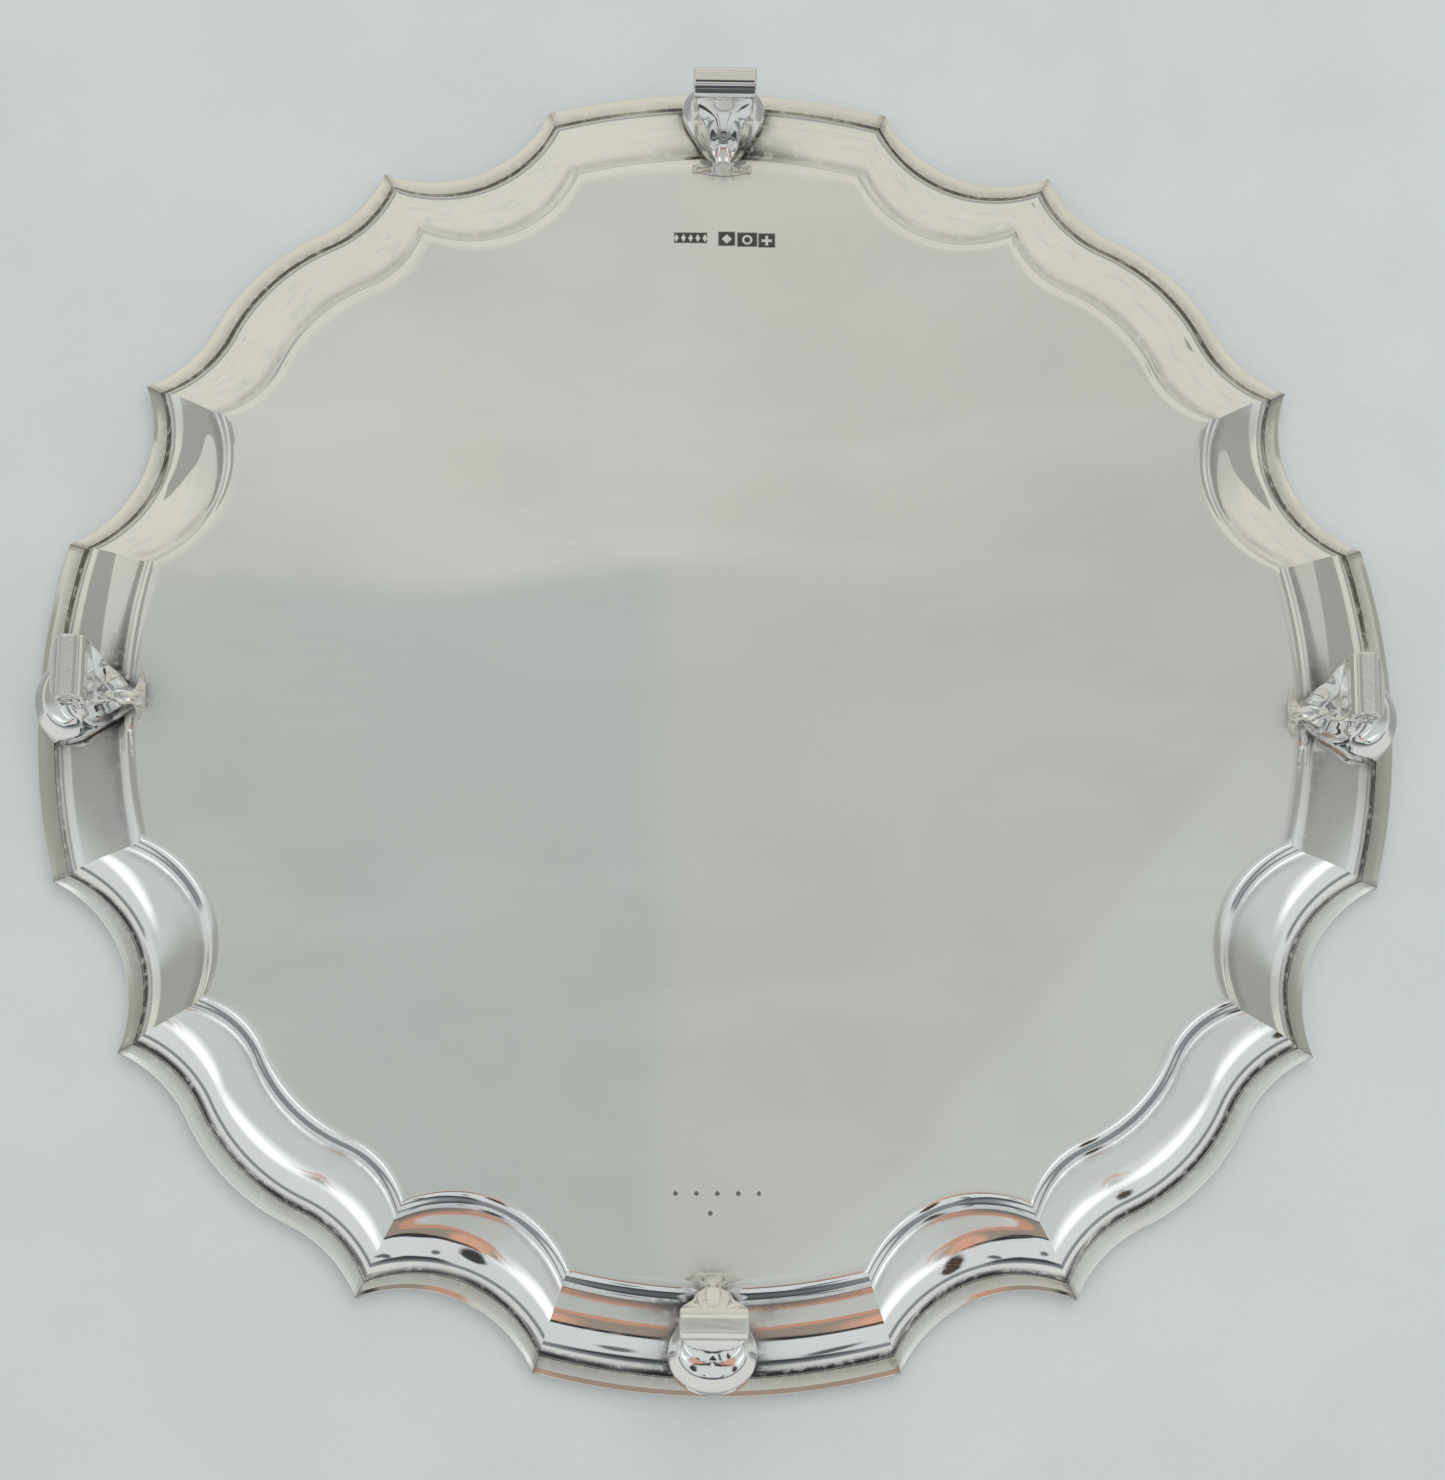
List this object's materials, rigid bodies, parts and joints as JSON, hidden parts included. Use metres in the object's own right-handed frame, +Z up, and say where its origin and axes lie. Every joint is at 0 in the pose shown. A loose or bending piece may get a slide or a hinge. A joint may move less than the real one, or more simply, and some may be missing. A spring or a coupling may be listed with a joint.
{
  "type": "footed salver",
  "caption": "Shallow silver tray with a flat well and a cusped, moulded border, standing on scroll feet under its rim.",
  "frame": {"origin": "middle of the salver on the plane its feet stand on", "axes": "+Z up out of the well, with the feet below; the feet lie by +X, +Y, -X and -Y"},
  "size_m": [0.2032, 0.2032, 0.0256],
  "materials": {
    "silver_sheet": "polished silver, fine wear scratches",
    "silver_moulding": "polished silver, tarnished in the crevices",
    "silver_casting": "polished cast silver, tarnished in the crevices"
  },
  "bodies": {
    "root": {"tray": "silver_sheet", "rim_arc_right": "silver_moulding", "rim_arc_back": "silver_moulding", "rim_arc_left": "silver_moulding", "rim_arc_front": "silver_moulding", "rim_notch_1": "silver_moulding", "rim_notch_2": "silver_moulding", "rim_notch_3": "silver_moulding", "rim_notch_4": "silver_moulding", "rim_notch_5": "silver_moulding", "rim_notch_6": "silver_moulding", "rim_notch_7": "silver_moulding", "rim_notch_8": "silver_moulding", "rim_lobe_back_right": "silver_moulding", "rim_lobe_back_left": "silver_moulding", "rim_lobe_front_left": "silver_moulding", "rim_lobe_front_right": "silver_moulding", "foot_right": "silver_casting", "foot_back": "silver_casting", "foot_left": "silver_casting", "foot_front": "silver_casting"}
  },
  "joints": []
}
